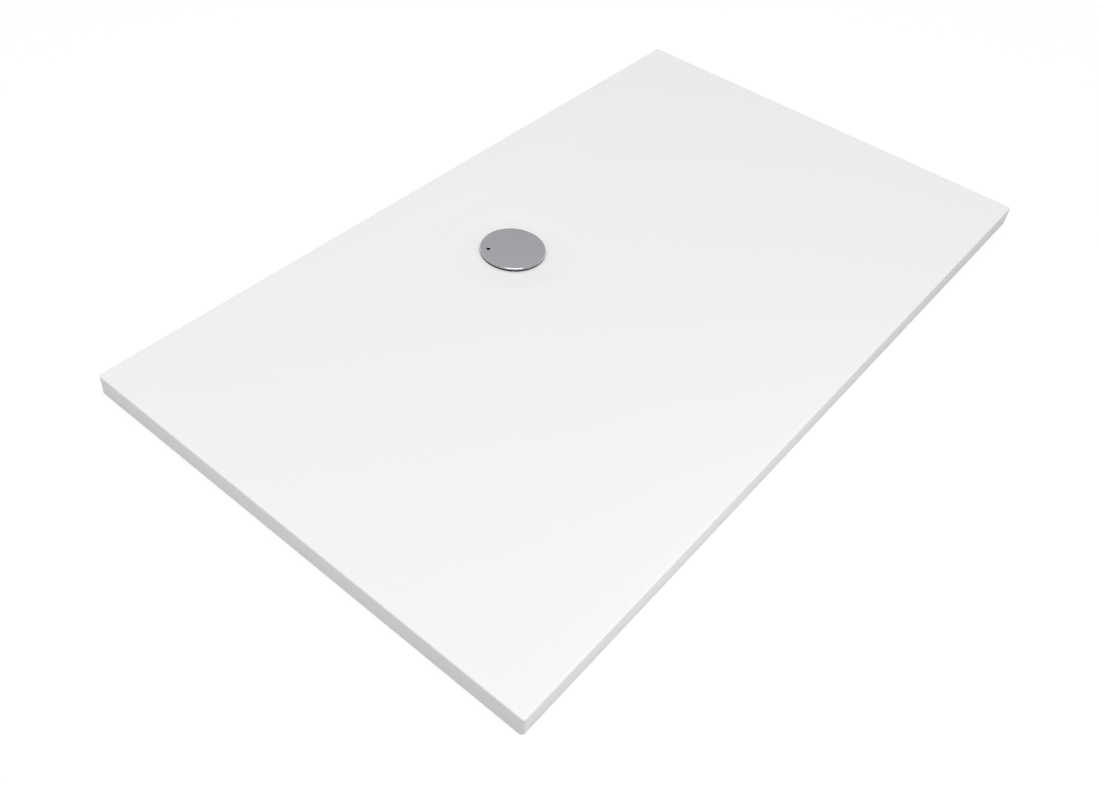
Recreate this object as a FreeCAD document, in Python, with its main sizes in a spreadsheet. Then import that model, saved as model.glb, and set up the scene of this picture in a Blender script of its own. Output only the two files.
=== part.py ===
import FreeCAD, Part
import math
import os
import Sketcher

# Low white shower tray with its round waste and water trap. Millimetres, +Z up. The origin is the
# middle of the tray's flat underside, +X runs along the long side and +Y points at the back edge.
# The waste parts are drawn about the waste's own upright axis, with z still counted from the
# tray's underside, and the outlet's loose parts about the outlet's axis.

doc = FreeCAD.newDocument("ShowerTray")
sheet = doc.addObject("Spreadsheet::Sheet", "Sizes")


class Size:
    """A length with its number and the sheet expression that gives it."""

    def __init__(self, number, text):
        self.number = number
        self.text = text

    def __add__(self, other):
        other = as_size(other)
        return Size(self.number + other.number, f"({self.text} + {other.text})")

    def __sub__(self, other):
        other = as_size(other)
        return Size(self.number - other.number, f"({self.text} - {other.text})")

    def __mul__(self, factor):
        return Size(self.number * factor, f"({self.text} * {factor})")

    def __truediv__(self, divisor):
        return Size(self.number / divisor, f"({self.text} / {divisor})")

    def __neg__(self):
        return Size(-self.number, f"(0 - {self.text})")


def as_size(value):
    return value if isinstance(value, Size) else Size(value, str(value))


zero = as_size(0)
sheet_rows = []


def size(name, number, note):
    """Writes one driving dimension into the sheet and returns it."""
    sheet_rows.append(name)
    row = len(sheet_rows)
    sheet.set(f"A{row}", name)
    sheet.set(f"B{row}", str(number))
    sheet.set(f"C{row}", note)
    sheet.setAlias(f"B{row}", name)
    return Size(number, f"Sizes.{name}")


# ---- driving dimensions: the tray ----
tray_length = size("tray_length", 1400, "outside, along the long side")
tray_width = size("tray_width", 800, "outside, front to back")
tray_height = size("tray_height", 35, "underside to the rim")
corner_radius = size("corner_radius", 5, "upright corners of the tray")
top_edge_radius = size("top_edge_radius", 3, "rounding along the top edge")
cap_thickness = size("cap_thickness", 3, "white capping")
rim_width = size("rim_width", 25, "level rim round the falls")
fall_corner_radius = size("fall_corner_radius", 60, "plan corners of the falls")
fall_drop = size("fall_drop", 4, "rim down to the edge of the dish")
dish_radius = size("dish_radius", 115, "round dish about the waste")
dish_drop = size("dish_drop", 4, "edge of the dish down to the waste")
dish_lip = size("dish_lip", 1.5, "level ring left outside the waste recess")
waste_left_of_middle = size("waste_left_of_middle", 48, "waste axis from the middle")
waste_from_back = size("waste_from_back", 228.5, "waste axis from the back edge")
waste_hole_radius = size("waste_hole_radius", 45, "hole through the tray")
underside_recess_depth = size("underside_recess_depth", 8, "recess for the trap's rim")
underside_recess_gap = size("underside_recess_gap", 13, "finger room round the trap's rim")

# ---- driving dimensions: clearances shared by the waste parts ----
lift_clearance = size("lift_clearance", 0.4, "radial, round each part that lifts out")
thread_clearance = size("thread_clearance", 0.3, "radial, in each screwed joint")
seal_margin = size("seal_margin", 0.5, "edge of a flat seal back from its seat's edge")

# ---- driving dimensions: clamp ring and its screws ----
flange_radius = size("flange_radius", 52.5, "clamp ring, outside")
flange_thickness = size("flange_thickness", 3, "clamp ring plate")
flange_side_gap = size("flange_side_gap", 1, "clamp ring to the recess wall")
flange_seal_thickness = size("flange_seal_thickness", 1.5, "seal under the clamp ring")
flange_spigot_length = size("flange_spigot_length", 7, "clamp ring's spigot below its plate")
flange_spigot_wall = size("flange_spigot_wall", 2.6, "wall of that spigot")
flange_ledge = size("flange_ledge", 2, "ledge that the trap insert hangs on")
clamp_gap = size("clamp_gap", 0.5, "clamp ring to collar, left for tightening")
screw_radius = size("screw_radius", 2, "screw shank")
screw_head_radius = size("screw_head_radius", 3.9, "countersunk head")
screw_length = size("screw_length", 16, "whole screw")
screw_slot_width = size("screw_slot_width", 1, "slot in the head")
screw_slot_depth = size("screw_slot_depth", 1.1, "slot in the head")
screw_clearance = size("screw_clearance", 0.2, "shank to the clamp ring, radial")
screw_thread_gap = size("screw_thread_gap", 0.05, "shank to its brass insert, radial")
screw_end_room = size("screw_end_room", 2, "boss hole beyond the screw's tip")
screw_insert_wall = size("screw_insert_wall", 0.7, "brass insert's wall")
screw_insert_length = size("screw_insert_length", 8, "brass insert")
boss_radius = size("boss_radius", 3.75, "screw boss")
boss_hole_gap = size("boss_hole_gap", 1.25, "screw boss to the tray's hole")
screw_count = 4

# ---- driving dimensions: trap ----
collar_wall = size("collar_wall", 2.5, "trap collar that stands in the tray's hole")
head_rim_radius = size("head_rim_radius", 62, "trap rim under the tray")
head_rim_thickness = size("head_rim_thickness", 3.5, "trap rim under the tray")
head_skirt_wall = size("head_skirt_wall", 3, "threaded skirt that holds the bowl")
head_skirt_length = size("head_skirt_length", 13, "threaded skirt that holds the bowl")
body_seal_thickness = size("body_seal_thickness", 3, "seal between tray and trap rim")
bowl_seal_thickness = size("bowl_seal_thickness", 2, "ring between head and bowl")
bowl_radius = size("bowl_radius", 49.5, "bowl, outside")
bowl_wall = size("bowl_wall", 3, "bowl wall")
bowl_floor = size("bowl_floor", 2.5, "bowl floor")
bowl_corner_radius = size("bowl_corner_radius", 5, "outer bottom corner of the bowl")
weir_radius = size("weir_radius", 35.5, "tube that holds the water back, outside")
weir_wall = size("weir_wall", 2.5, "tube that holds the water back")
water_level = size("water_level", 16, "top of the weir, below the underside")
water_seal = size("water_seal", 50, "depth that the tube dips into the water")
dip_floor_gap = size("dip_floor_gap", 9, "tube end to bowl floor")

# ---- driving dimensions: outlet ----
outlet_drop = size("outlet_drop", 45, "outlet axis below the underside")
outlet_reach = size("outlet_reach", 84, "waste axis to the spigot's mouth")
pipe_radius = size("pipe_radius", 20, "waste pipe that the outlet takes, outside")
pipe_clearance = size("pipe_clearance", 0.2, "pipe to spigot, radial")
pipe_depth = size("pipe_depth", 22, "how far the pipe goes in")
pipe_stop = size("pipe_stop", 2, "ledge that stops the pipe")
spigot_wall = size("spigot_wall", 3.6, "outlet spigot")
spigot_gap = size("spigot_gap", 0.1, "spigot to its hole in the bowl, radial")
outlet_seal_length = size("outlet_seal_length", 5, "tapered rubber ring")
outlet_seal_taper = size("outlet_seal_taper", 0.8, "how much its nose narrows")
outlet_washer_thickness = size("outlet_washer_thickness", 1.2, "slip washer")
outlet_ring_clearance = size("outlet_ring_clearance", 0.3, "ring to the pipe, radial")
nut_wall = size("nut_wall", 4, "outlet nut")
nut_grip = size("nut_grip", 18, "length of nut over the spigot")
nut_end_wall = size("nut_end_wall", 3.2, "nut's closed end")
nut_pipe_gap = size("nut_pipe_gap", 0.8, "pipe to the nut's end hole, radial")
nut_rib_height = size("nut_rib_height", 2, "grip rib above the nut")
nut_rib_width = size("nut_rib_width", 3, "grip rib")
nut_rib_count = 12

# ---- driving dimensions: lift-out insert, strainer and cover ----
insert_rim_thickness = size("insert_rim_thickness", 1.6, "rim that hangs in the clamp ring")
insert_wall = size("insert_wall", 2.5, "insert's wall")
neck_clearance = size("neck_clearance", 1.8, "neck to the clamp ring, radial")
neck_length = size("neck_length", 10, "thick neck below the rim")
oring_radius = size("oring_radius", 1.75, "O-ring section")
oring_clearance = size("oring_clearance", 0.1, "O-ring to the clamp ring, radial")
oring_below_rim = size("oring_below_rim", 4.2, "rim's underside to the middle of the groove")
oring_play = size("oring_play", 0.25, "groove to O-ring, each way up and down")
oring_seat_gap = size("oring_seat_gap", 0.05, "groove floor to O-ring")
dip_tube_radius = size("dip_tube_radius", 24.5, "dipping tube, outside")
funnel_length = size("funnel_length", 6, "narrowing from basket to tube")
strainer_rim_width = size("strainer_rim_width", 2.7, "strainer's rim beyond its basket")
strainer_rim_thickness = size("strainer_rim_thickness", 1.6, "strainer's rim")
strainer_depth = size("strainer_depth", 14, "basket below its seat")
strainer_wall = size("strainer_wall", 1.2, "basket wall")
strainer_floor = size("strainer_floor", 1.5, "basket floor")
strainer_foot_gap = size("strainer_foot_gap", 2, "basket floor to the narrowing")
strainer_bore_inset = size("strainer_bore_inset", 3.45, "insert's bore inside its neck")
strainer_slot_width = size("strainer_slot_width", 3, "slots in the basket")
strainer_slot_inner = size("strainer_slot_inner", 8, "floor slots start at this radius")
strainer_slot_margin = size("strainer_slot_margin", 2, "slot ends back from the basket's edges")
strainer_slot_count = 12
knob_radius = size("knob_radius", 5, "strainer's lifting knob")
knob_thickness = size("knob_thickness", 2, "strainer's lifting knob")
knob_stem_radius = size("knob_stem_radius", 2.5, "stem under the knob")
knob_below_rim = size("knob_below_rim", 3, "knob's top below the strainer's rim")
cover_overhang = size("cover_overhang", 2, "cover beyond the waste recess")
cover_gap = size("cover_gap", 3.5, "clamp ring to the cover's edge")
cover_edge_height = size("cover_edge_height", 3, "cover's edge")
cover_crown = size("cover_crown", 0.6, "middle of the cover above its edge")
cover_skin = size("cover_skin", 2, "cover's plate at its edge")
cover_rim_width = size("cover_rim_width", 2, "cover's turned-down rim")
cover_edge_flat = size("cover_edge_flat", 0.2, "upright part of the edge")
cover_bottom_round = size("cover_bottom_round", 1, "rounding under the edge")
lifting_hole_radius = size("lifting_hole_radius", 3.5, "hole in the cover")
lifting_hole_left = size("lifting_hole_left", 31, "hole from the cover's middle, to the left")
lifting_hole_back = size("lifting_hole_back", 28, "hole from the cover's middle, to the back")
foot_width = size("foot_width", 10, "cover's feet, across")
foot_margin = size("foot_margin", 1.2, "feet back from the edges of the insert's rim")
finger_width = size("finger_width", 8, "centring fingers, across")
finger_thickness = size("finger_thickness", 1.8, "centring fingers")
finger_length = size("finger_length", 7, "fingers below the insert's rim")
finger_gap = size("finger_gap", 0.8, "fingers to the basket")
carrier_margin = size("carrier_margin", 0.8, "carrier's inner edge beyond its fingers")
carrier_fit = size("carrier_fit", 0.3, "carrier in the cover's hollow, radial")
carrier_lip = size("carrier_lip", 1.7, "carrier's lip below the cover's rim")
carrier_set_back = size("carrier_set_back", 0.6, "that lip in from the cover's edge")
foot_count = 4

doc.recompute()

# ---- levels and radii that follow from them ----
waste_x = -waste_left_of_middle
waste_y = tray_width / 2 - waste_from_back
dish_edge_level = tray_height - fall_drop
flange_top = dish_edge_level - dish_drop
flange_bottom = flange_top - flange_thickness
seat_top = flange_bottom - flange_seal_thickness
seat_bottom = seat_top - cap_thickness
waste_recess_radius = flange_radius + flange_side_gap
dish_inner_radius = waste_recess_radius + cap_thickness + dish_lip

screw_circle_radius = waste_hole_radius - boss_hole_gap - boss_radius
collar_bore_radius = screw_circle_radius - boss_radius
collar_top = flange_bottom - clamp_gap
flange_spigot_radius = collar_bore_radius - thread_clearance
flange_bore_radius = flange_spigot_radius - flange_spigot_wall
flange_counterbore_radius = flange_bore_radius + flange_ledge

head_rim_top = underside_recess_depth - body_seal_thickness
head_rim_bottom = head_rim_top - head_rim_thickness
bowl_top = head_rim_bottom - bowl_seal_thickness
bowl_inner_radius = bowl_radius - bowl_wall
tube_end_level = -water_level - water_seal
bowl_floor_level = tube_end_level - dip_floor_gap

insert_rim_radius = flange_counterbore_radius - lift_clearance
insert_rim_bottom = flange_top - insert_rim_thickness
neck_radius = flange_bore_radius - neck_clearance
insert_bore_radius = neck_radius - strainer_bore_inset - insert_wall
basket_radius = insert_bore_radius - lift_clearance
strainer_rim_radius = basket_radius + strainer_rim_width
strainer_seat_level = flange_top - strainer_rim_thickness
basket_bottom = strainer_seat_level - strainer_depth

cover_radius = waste_recess_radius + cover_overhang
cover_bottom = flange_top + cover_gap
cover_edge_top = cover_bottom + cover_edge_height
cover_underside = cover_edge_top - cover_skin

spigot_bore_radius = pipe_radius + pipe_clearance
spigot_radius = spigot_bore_radius + spigot_wall
nut_bore_radius = spigot_radius + thread_clearance
nut_radius = nut_bore_radius + nut_wall

nodes = []


def keep(thing, name):
    """Names a finished sub-part and puts it on the list of parts to write."""
    thing.Label = name
    nodes.append(thing)
    return thing


def new_body(name):
    return doc.addObject("PartDesign::Body", name)


def origin_part(body, role):
    return [part for part in body.Origin.OriginFeatures if part.Role == role][0]


def place(thing, x, y, z):
    """Ties a part's place to the sheet."""
    thing.setExpression("Placement.Base.x", x.text)
    thing.setExpression("Placement.Base.y", y.text)
    thing.setExpression("Placement.Base.z", z.text)


def new_sketch(body, name, role):
    """Adds a sketch on one of the body's own origin planes."""
    sketch = body.newObject("Sketcher::SketchObject", name)
    sketch.AttachmentSupport = [(origin_part(body, role), "")]
    sketch.MapMode = "FlatFace"
    return sketch


def bind(sketch, kind, references, value):
    """Adds a driving constraint whose value comes from the sheet."""
    index = sketch.addConstraint(Sketcher.Constraint(kind, *references, value.number))
    sketch.setExpression(f"Constraints[{index}]", value.text)


def pin(sketch, edge, end, across, up):
    """Fixes one end of a sketch edge from the sketch's origin."""
    if across is zero:
        sketch.addConstraint(Sketcher.Constraint("PointOnObject", edge, end, -2))
    else:
        bind(sketch, "DistanceX", (-1, 1, edge, end), across)
    if up is zero:
        sketch.addConstraint(Sketcher.Constraint("PointOnObject", edge, end, -1))
    else:
        bind(sketch, "DistanceY", (-1, 1, edge, end), up)


def arc_between(start, finish, centre_across):
    """The shorter arc between two points whose centre lies at the given position across."""
    x0, y0 = start[0].number, start[1].number
    x1, y1 = finish[0].number, finish[1].number
    cx = centre_across.number
    cy = ((x1 - cx) ** 2 + y1**2 - (x0 - cx) ** 2 - y0**2) / (2 * (y1 - y0))
    circle = Part.Circle(FreeCAD.Vector(cx, cy, 0), FreeCAD.Vector(0, 0, 1), math.hypot(x0 - cx, y0 - cy))
    turn0 = math.atan2(y0 - cy, x0 - cx)
    turn1 = math.atan2(y1 - cy, x1 - cx)
    forwards = (turn1 - turn0) % (2 * math.pi) < math.pi
    if forwards:
        return Part.ArcOfCircle(circle, turn0, turn1), 1, 2
    return Part.ArcOfCircle(circle, turn1, turn0), 2, 1


def draw_outline(sketch, points, arc_centres=None):
    """Draws a closed outline through (across, up) points. arc_centres gives, for the index of a
    point where an arc starts, the position across of that arc's centre."""
    arc_centres = arc_centres or {}
    edges = []
    for i, start in enumerate(points):
        finish = points[(i + 1) % len(points)]
        if i in arc_centres:
            arc, first, last = arc_between(start, finish, arc_centres[i])
            edges.append((sketch.addGeometry(arc), first, last))
        else:
            line = Part.LineSegment(
                FreeCAD.Vector(start[0].number, start[1].number, 0),
                FreeCAD.Vector(finish[0].number, finish[1].number, 0),
            )
            edges.append((sketch.addGeometry(line), 1, 2))
    for i, (edge, first, last) in enumerate(edges):
        following = edges[(i + 1) % len(edges)]
        sketch.addConstraint(Sketcher.Constraint("Coincident", edge, last, following[0], following[1]))
        pin(sketch, edge, first, *points[i])
        if i in arc_centres:
            bind(sketch, "DistanceX", (-1, 1, edge, 3), arc_centres[i])


def turn(body, kind, name, points, arc_centres=None):
    """Adds a Revolution or a Groove about the body's z axis."""
    sketch = new_sketch(body, f"{name}Outline", "XZ_Plane")
    draw_outline(sketch, points, arc_centres)
    feature = body.newObject(f"PartDesign::{kind}", name)
    feature.Profile = sketch
    feature.ReferenceAxis = (sketch, ["V_Axis"])
    feature.Angle = 360
    return feature


def ring(body, name, inner, outer, low, high):
    """Adds a plain ring of rectangular section about the body's z axis."""
    return turn(body, "Revolution", name, [(inner, low), (outer, low), (outer, high), (inner, high)])


def rectangle(sketch, left, right, low, high):
    draw_outline(sketch, [(left, low), (right, low), (right, high), (left, high)])


def disc(sketch, across, up, radius):
    """Draws one full circle."""
    middle = FreeCAD.Vector(across.number, up.number, 0)
    circle = sketch.addGeometry(Part.Circle(middle, FreeCAD.Vector(0, 0, 1), radius.number))
    pin(sketch, circle, 3, across, up)
    bind(sketch, "Radius", (circle,), radius)


def lift_sketch(sketch, level):
    """Raises a sketch on the XY plane to a level."""
    sketch.setExpression("AttachmentOffset.Base.z", level.text)


def pad(body, sketch, name, length, backwards=False):
    feature = body.newObject("PartDesign::Pad", name)
    feature.Profile = sketch
    feature.setExpression("Length", length.text)
    feature.Reversed = backwards
    return feature


def pocket(body, sketch, name, depth, backwards=False):
    """Cuts a pocket and checks that it took material away."""
    doc.recompute()
    before = body.Shape.Volume
    feature = body.newObject("PartDesign::Pocket", name)
    feature.Profile = sketch
    feature.setExpression("Length", depth.text)
    feature.Reversed = backwards
    doc.recompute()
    if not body.Shape.Volume < before:
        raise RuntimeError(f"{name} cut nothing from {body.Name}")
    return feature


def repeat_round(body, feature, name, count):
    """Repeats a feature round the body's z axis."""
    pattern = body.newObject("PartDesign::PolarPattern", name)
    pattern.Originals = [feature]
    pattern.Axis = (origin_part(body, "Z_Axis"), [""])
    pattern.Angle = 360
    pattern.Occurrences = count
    body.Tip = pattern
    return pattern


def round_edges(body, name, radius, wanted):
    """Rounds the edges of the body's present shape for which wanted(edge) is true."""
    doc.recompute()
    tip = body.Tip
    names = [f"Edge{i + 1}" for i, edge in enumerate(tip.Shape.Edges) if wanted(edge)]
    if not names:
        raise RuntimeError(f"{name} found no edge")
    feature = body.newObject("PartDesign::Fillet", name)
    feature.Base = (tip, names)
    feature.setExpression("Radius", radius.text)
    return feature


def is_level(edge, level):
    """True for an edge that lies all in one level."""
    box = edge.BoundBox
    return abs(box.ZMin - level.number) < 0.01 and abs(box.ZMax - level.number) < 0.01


def is_circle_at(edge, radius, level):
    """True for a circle about the body's z axis."""
    return is_level(edge, level) and abs(edge.BoundBox.XMax - radius.number) < 0.01


def cut(name, base, *tools):
    """Takes each tool away from the base in turn."""
    result = base
    for i, tool in enumerate(tools):
        step = doc.addObject("Part::Cut", f"{name}{i + 1}")
        step.Base = result
        step.Tool = tool
        result = step
    return result


# ---- the tray ----


def slab(name, inset, top, edge_radius):
    """A plain block with rounded upright corners, set in from the tray's outside."""
    body = new_body(name)
    half_length = tray_length / 2 - inset
    half_width = tray_width / 2 - inset
    sketch = new_sketch(body, f"{name}Outline", "XY_Plane")
    rectangle(sketch, -half_length, half_length, -half_width, half_width)
    pad(body, sketch, f"{name}Block", top)
    round_edges(
        body,
        f"{name}Corners",
        corner_radius - inset,
        lambda edge: edge.BoundBox.ZLength > top.number / 2,
    )
    if edge_radius is not None:
        round_edges(body, f"{name}TopEdge", edge_radius, lambda edge: is_level(edge, top))
    return body


def falls(name, lowered):
    """The hollow above the falls: four flat slopes and four cone-like corners that run from the
    rounded rectangle inside the rim down to the round edge of the dish."""
    top = tray_height.number
    low = dish_edge_level.number
    corner = fall_corner_radius.number
    dish = dish_radius.number
    middle_x = waste_x.number
    middle_y = waste_y.number
    reach_x = tray_length.number / 2 - rim_width.number - corner
    reach_y = tray_width.number / 2 - rim_width.number - corner

    def at(centre_x, centre_y, radius, quarter_turns, level):
        angle = quarter_turns * math.pi / 2
        x = centre_x + radius * math.cos(angle)
        y = centre_y + radius * math.sin(angle)
        return FreeCAD.Vector(x, y, level)

    corners = [(reach_x, reach_y), (-reach_x, reach_y), (-reach_x, -reach_y), (reach_x, -reach_y)]
    rim_edges = []
    dish_edges = []
    slopes = []
    for i, (x, y) in enumerate(corners):
        rim_points = [at(x, y, corner, i + part, top) for part in (0, 0.5, 1)]
        dish_points = [at(middle_x, middle_y, dish, i + part, low) for part in (0, 0.5, 1)]
        rim_arc = Part.Arc(*rim_points).toShape()
        dish_arc = Part.Arc(*dish_points).toShape()
        next_x, next_y = corners[(i + 1) % 4]
        next_rim_point = at(next_x, next_y, corner, i + 1, top)
        rim_line = Part.makeLine(rim_points[2], next_rim_point)
        slope_outline = Part.makePolygon([rim_points[2], next_rim_point, dish_points[2], rim_points[2]])
        rim_edges += [rim_arc, rim_line]
        dish_edges.append(dish_arc)
        slopes += [Part.makeRuledSurface(dish_arc, rim_arc), Part.Face(slope_outline)]
    rim_face = Part.Face(Part.Wire(rim_edges))
    dish_face = Part.Face(Part.Wire(dish_edges))
    shell = Part.Shell(slopes + [rim_face, dish_face])
    shell.sewShape()
    hollow = Part.Solid(shell)
    if hollow.Volume < 0:
        hollow.reverse()
    above = rim_face.extrude(FreeCAD.Vector(0, 0, cap_thickness.number))
    feature = doc.addObject("Part::Feature", name)
    feature.Shape = hollow.fuse(above)
    feature.Placement = FreeCAD.Placement(FreeCAD.Vector(0, 0, -lowered.number), FreeCAD.Rotation())
    return feature


def waste_hollow(name, lowered, side_gap, points_below):
    """The hollow round the waste: two arcs of one radius make the dish's soft S, then the recess."""
    middle_radius = (dish_radius + dish_inner_radius) / 2
    inner_level = flange_top - lowered
    edge_level = dish_edge_level - lowered
    middle_level = (inner_level + edge_level) / 2
    recess_radius = waste_recess_radius + side_gap
    body = new_body(name)
    points = points_below + [
        (recess_radius, seat_top - lowered),
        (recess_radius, inner_level),
        (dish_inner_radius, inner_level),
        (middle_radius, middle_level),
        (dish_radius, edge_level),
        (dish_radius, tray_height - lowered),
        (zero, tray_height - lowered),
    ]
    first_arc = len(points_below) + 2
    arc_centres = {first_arc: dish_inner_radius, first_arc + 1: dish_radius}
    turn(body, "Revolution", f"{name}Turned", points, arc_centres)
    place(body, waste_x, waste_y, zero)
    return body


core_slab = slab("CoreSlab", cap_thickness, tray_height - cap_thickness, None)
core_falls = falls("CoreFalls", cap_thickness)
core_hollow = waste_hollow("CoreHollow", cap_thickness, cap_thickness, [(zero, seat_bottom)])
core_casting = cut("CoreCasting", core_slab, core_falls, core_hollow)

# The trap's rim goes up into this recess, and the hole runs on through the seat.
trap_recess = new_body("TrapRecess")
trap_recess_radius = head_rim_radius + underside_recess_gap
turn(
    trap_recess,
    "Revolution",
    "TrapRecessTurned",
    [
        (zero, zero),
        (trap_recess_radius, zero),
        (trap_recess_radius, underside_recess_depth),
        (waste_hole_radius, underside_recess_depth),
        (waste_hole_radius, seat_top),
        (zero, seat_top),
    ],
)
place(trap_recess, waste_x, waste_y, zero)
keep(cut("ResinCore", core_casting, trap_recess), "resin_core")

cap_slab = slab("CapSlab", zero, tray_height, top_edge_radius)
cap_falls = falls("CapFalls", zero)
cap_hollow = waste_hollow(
    "CapHollow",
    zero,
    zero,
    [(zero, zero), (waste_hole_radius, zero), (waste_hole_radius, seat_top)],
)
keep(cut("AcrylicCap", cap_slab, cap_falls, cap_hollow, core_casting), "acrylic_cap")


# ---- clamp ring, seals and screws ----


def waste_body(name, label):
    """A body on the waste's axis, kept under its own name."""
    body = new_body(name)
    place(body, waste_x, waste_y, zero)
    return keep(body, label)


flange = waste_body("WasteFlange", "waste_flange")
turn(
    flange,
    "Revolution",
    "FlangeTurned",
    [
        (flange_bore_radius, flange_bottom - flange_spigot_length),
        (flange_spigot_radius, flange_bottom - flange_spigot_length),
        (flange_spigot_radius, flange_bottom),
        (flange_radius, flange_bottom),
        (flange_radius, flange_top),
        (flange_counterbore_radius, flange_top),
        (flange_counterbore_radius, insert_rim_bottom),
        (flange_bore_radius, insert_rim_bottom),
    ],
)
# Countersunk hole: its cone and its bore follow the screw's head and shank.
countersink_radius = screw_head_radius + screw_clearance
screw_hole_radius = screw_radius + screw_clearance
countersink_bottom = flange_top - countersink_radius + screw_hole_radius
hole_outline = new_sketch(flange, "ScrewHoleOutline", "XZ_Plane")
hole_outline.setExpression("AttachmentOffset.Base.x", screw_circle_radius.text)
draw_outline(
    hole_outline,
    [
        (zero, flange_bottom),
        (screw_hole_radius, flange_bottom),
        (screw_hole_radius, countersink_bottom),
        (countersink_radius, flange_top),
        (zero, flange_top),
    ],
)
screw_hole = flange.newObject("PartDesign::Groove", "ScrewHole")
screw_hole.Profile = hole_outline
screw_hole.ReferenceAxis = (hole_outline, ["V_Axis"])
screw_hole.Angle = 360
repeat_round(flange, screw_hole, "ScrewHoles", screw_count)

flange_seal = waste_body("FlangeSeal", "flange_seal")
ring(
    flange_seal,
    "FlangeSealTurned",
    waste_hole_radius + seal_margin,
    flange_radius - seal_margin,
    seat_top,
    flange_bottom,
)


def screw(number):
    """One countersunk screw on its own axis, with a straight slot."""
    body = new_body(f"Screw{number}")
    head_bottom = flange_top - screw_head_radius + screw_radius
    turn(
        body,
        "Revolution",
        f"Screw{number}Turned",
        [
            (zero, flange_top - screw_length),
            (screw_radius, flange_top - screw_length),
            (screw_radius, head_bottom),
            (screw_head_radius, flange_top),
            (zero, flange_top),
        ],
    )
    slot = new_sketch(body, f"Screw{number}Slot", "XY_Plane")
    lift_sketch(slot, flange_top)
    rectangle(slot, -screw_head_radius, screw_head_radius, -screw_slot_width / 2, screw_slot_width / 2)
    pocket(body, slot, f"Screw{number}SlotCut", screw_slot_depth)
    return body


def screw_insert(number):
    """One brass insert, flush with the top of its boss."""
    body = new_body(f"BrassInsert{number}")
    bore = screw_radius + screw_thread_gap
    bottom = collar_top - screw_insert_length
    ring(body, f"BrassInsert{number}Turned", bore, bore + screw_insert_wall, bottom, collar_top)
    return body


def round_group(name, label, make):
    """Four like pieces on the screw circle, as one node."""
    pieces = []
    for number in range(screw_count):
        body = make(number + 1)
        turned = 2 * math.pi * number / screw_count
        place(
            body,
            waste_x + screw_circle_radius * round(math.cos(turned), 9),
            waste_y + screw_circle_radius * round(math.sin(turned), 9),
            zero,
        )
        pieces.append(body)
    group = doc.addObject("Part::Compound", name)
    group.Links = pieces
    return keep(group, label)


round_group("FlangeScrews", "flange_screws", screw)
round_group("ScrewInserts", "screw_inserts", screw_insert)

body_seal = waste_body("BodySeal", "body_seal")
ring(
    body_seal,
    "BodySealTurned",
    waste_hole_radius + seal_margin,
    head_rim_radius - seal_margin,
    head_rim_top,
    underside_recess_depth,
)

# ---- trap head and bowl ----

skirt_bore_radius = bowl_radius + thread_clearance
head = waste_body("TrapHead", "trap_head")
turn(
    head,
    "Revolution",
    "HeadTurned",
    [
        (collar_bore_radius, head_rim_bottom),
        (skirt_bore_radius, head_rim_bottom),
        (skirt_bore_radius, head_rim_bottom - head_skirt_length),
        (skirt_bore_radius + head_skirt_wall, head_rim_bottom - head_skirt_length),
        (skirt_bore_radius + head_skirt_wall, head_rim_bottom),
        (head_rim_radius, head_rim_bottom),
        (head_rim_radius, head_rim_top),
        (collar_bore_radius + collar_wall, head_rim_top),
        (collar_bore_radius + collar_wall, collar_top),
        (collar_bore_radius, collar_top),
    ],
)
boss_outline = new_sketch(head, "BossOutline", "XY_Plane")
lift_sketch(boss_outline, head_rim_bottom)
disc(boss_outline, screw_circle_radius, zero, boss_radius)
boss = pad(head, boss_outline, "Boss", collar_top - head_rim_bottom)
repeat_round(head, boss, "Bosses", screw_count)
boss_bore_outline = new_sketch(head, "BossBoreOutline", "XY_Plane")
lift_sketch(boss_bore_outline, collar_top)
disc(boss_bore_outline, screw_circle_radius, zero, screw_radius + screw_thread_gap + screw_insert_wall)
boss_bore_depth = screw_length - flange_thickness - clamp_gap + screw_end_room
boss_bore = pocket(head, boss_bore_outline, "BossBore", boss_bore_depth)
repeat_round(head, boss_bore, "BossBores", screw_count)

bowl_seal = waste_body("BowlSeal", "bowl_seal")
ring(
    bowl_seal,
    "BowlSealTurned",
    bowl_inner_radius + seal_margin,
    bowl_radius - seal_margin,
    bowl_top,
    head_rim_bottom,
)

bowl = waste_body("TrapBowl", "trap_bowl")
turn(
    bowl,
    "Revolution",
    "BowlTurned",
    [
        (zero, bowl_floor_level - bowl_floor),
        (bowl_radius, bowl_floor_level - bowl_floor),
        (bowl_radius, bowl_top),
        (zero, bowl_top),
    ],
)
round_edges(
    bowl,
    "BowlCorner",
    bowl_corner_radius,
    lambda edge: is_circle_at(edge, bowl_radius, bowl_floor_level - bowl_floor),
)


def turn_outlet(body, kind, name, points):
    """Adds a Revolution or a Groove about the outlet's axis; points are (along, radius)."""
    sketch = new_sketch(body, f"{name}Outline", "YZ_Plane")
    sketch.setExpression("AttachmentOffset.Base.y", (-outlet_drop).text)
    draw_outline(sketch, points)
    feature = body.newObject(f"PartDesign::{kind}", name)
    feature.Profile = sketch
    feature.ReferenceAxis = (sketch, ["H_Axis"])
    feature.Angle = 360


bowl_hollow = [
    (zero, bowl_floor_level),
    (bowl_inner_radius, bowl_floor_level),
    (bowl_inner_radius, bowl_top),
    (zero, bowl_top),
]
turn(bowl, "Groove", "BowlHollow", bowl_hollow)
spigot_hole_radius = spigot_radius + spigot_gap
turn_outlet(
    bowl,
    "Groove",
    "SpigotHole",
    [
        (weir_radius, zero),
        (outlet_reach, zero),
        (outlet_reach, spigot_hole_radius),
        (weir_radius, spigot_hole_radius),
    ],
)

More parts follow.
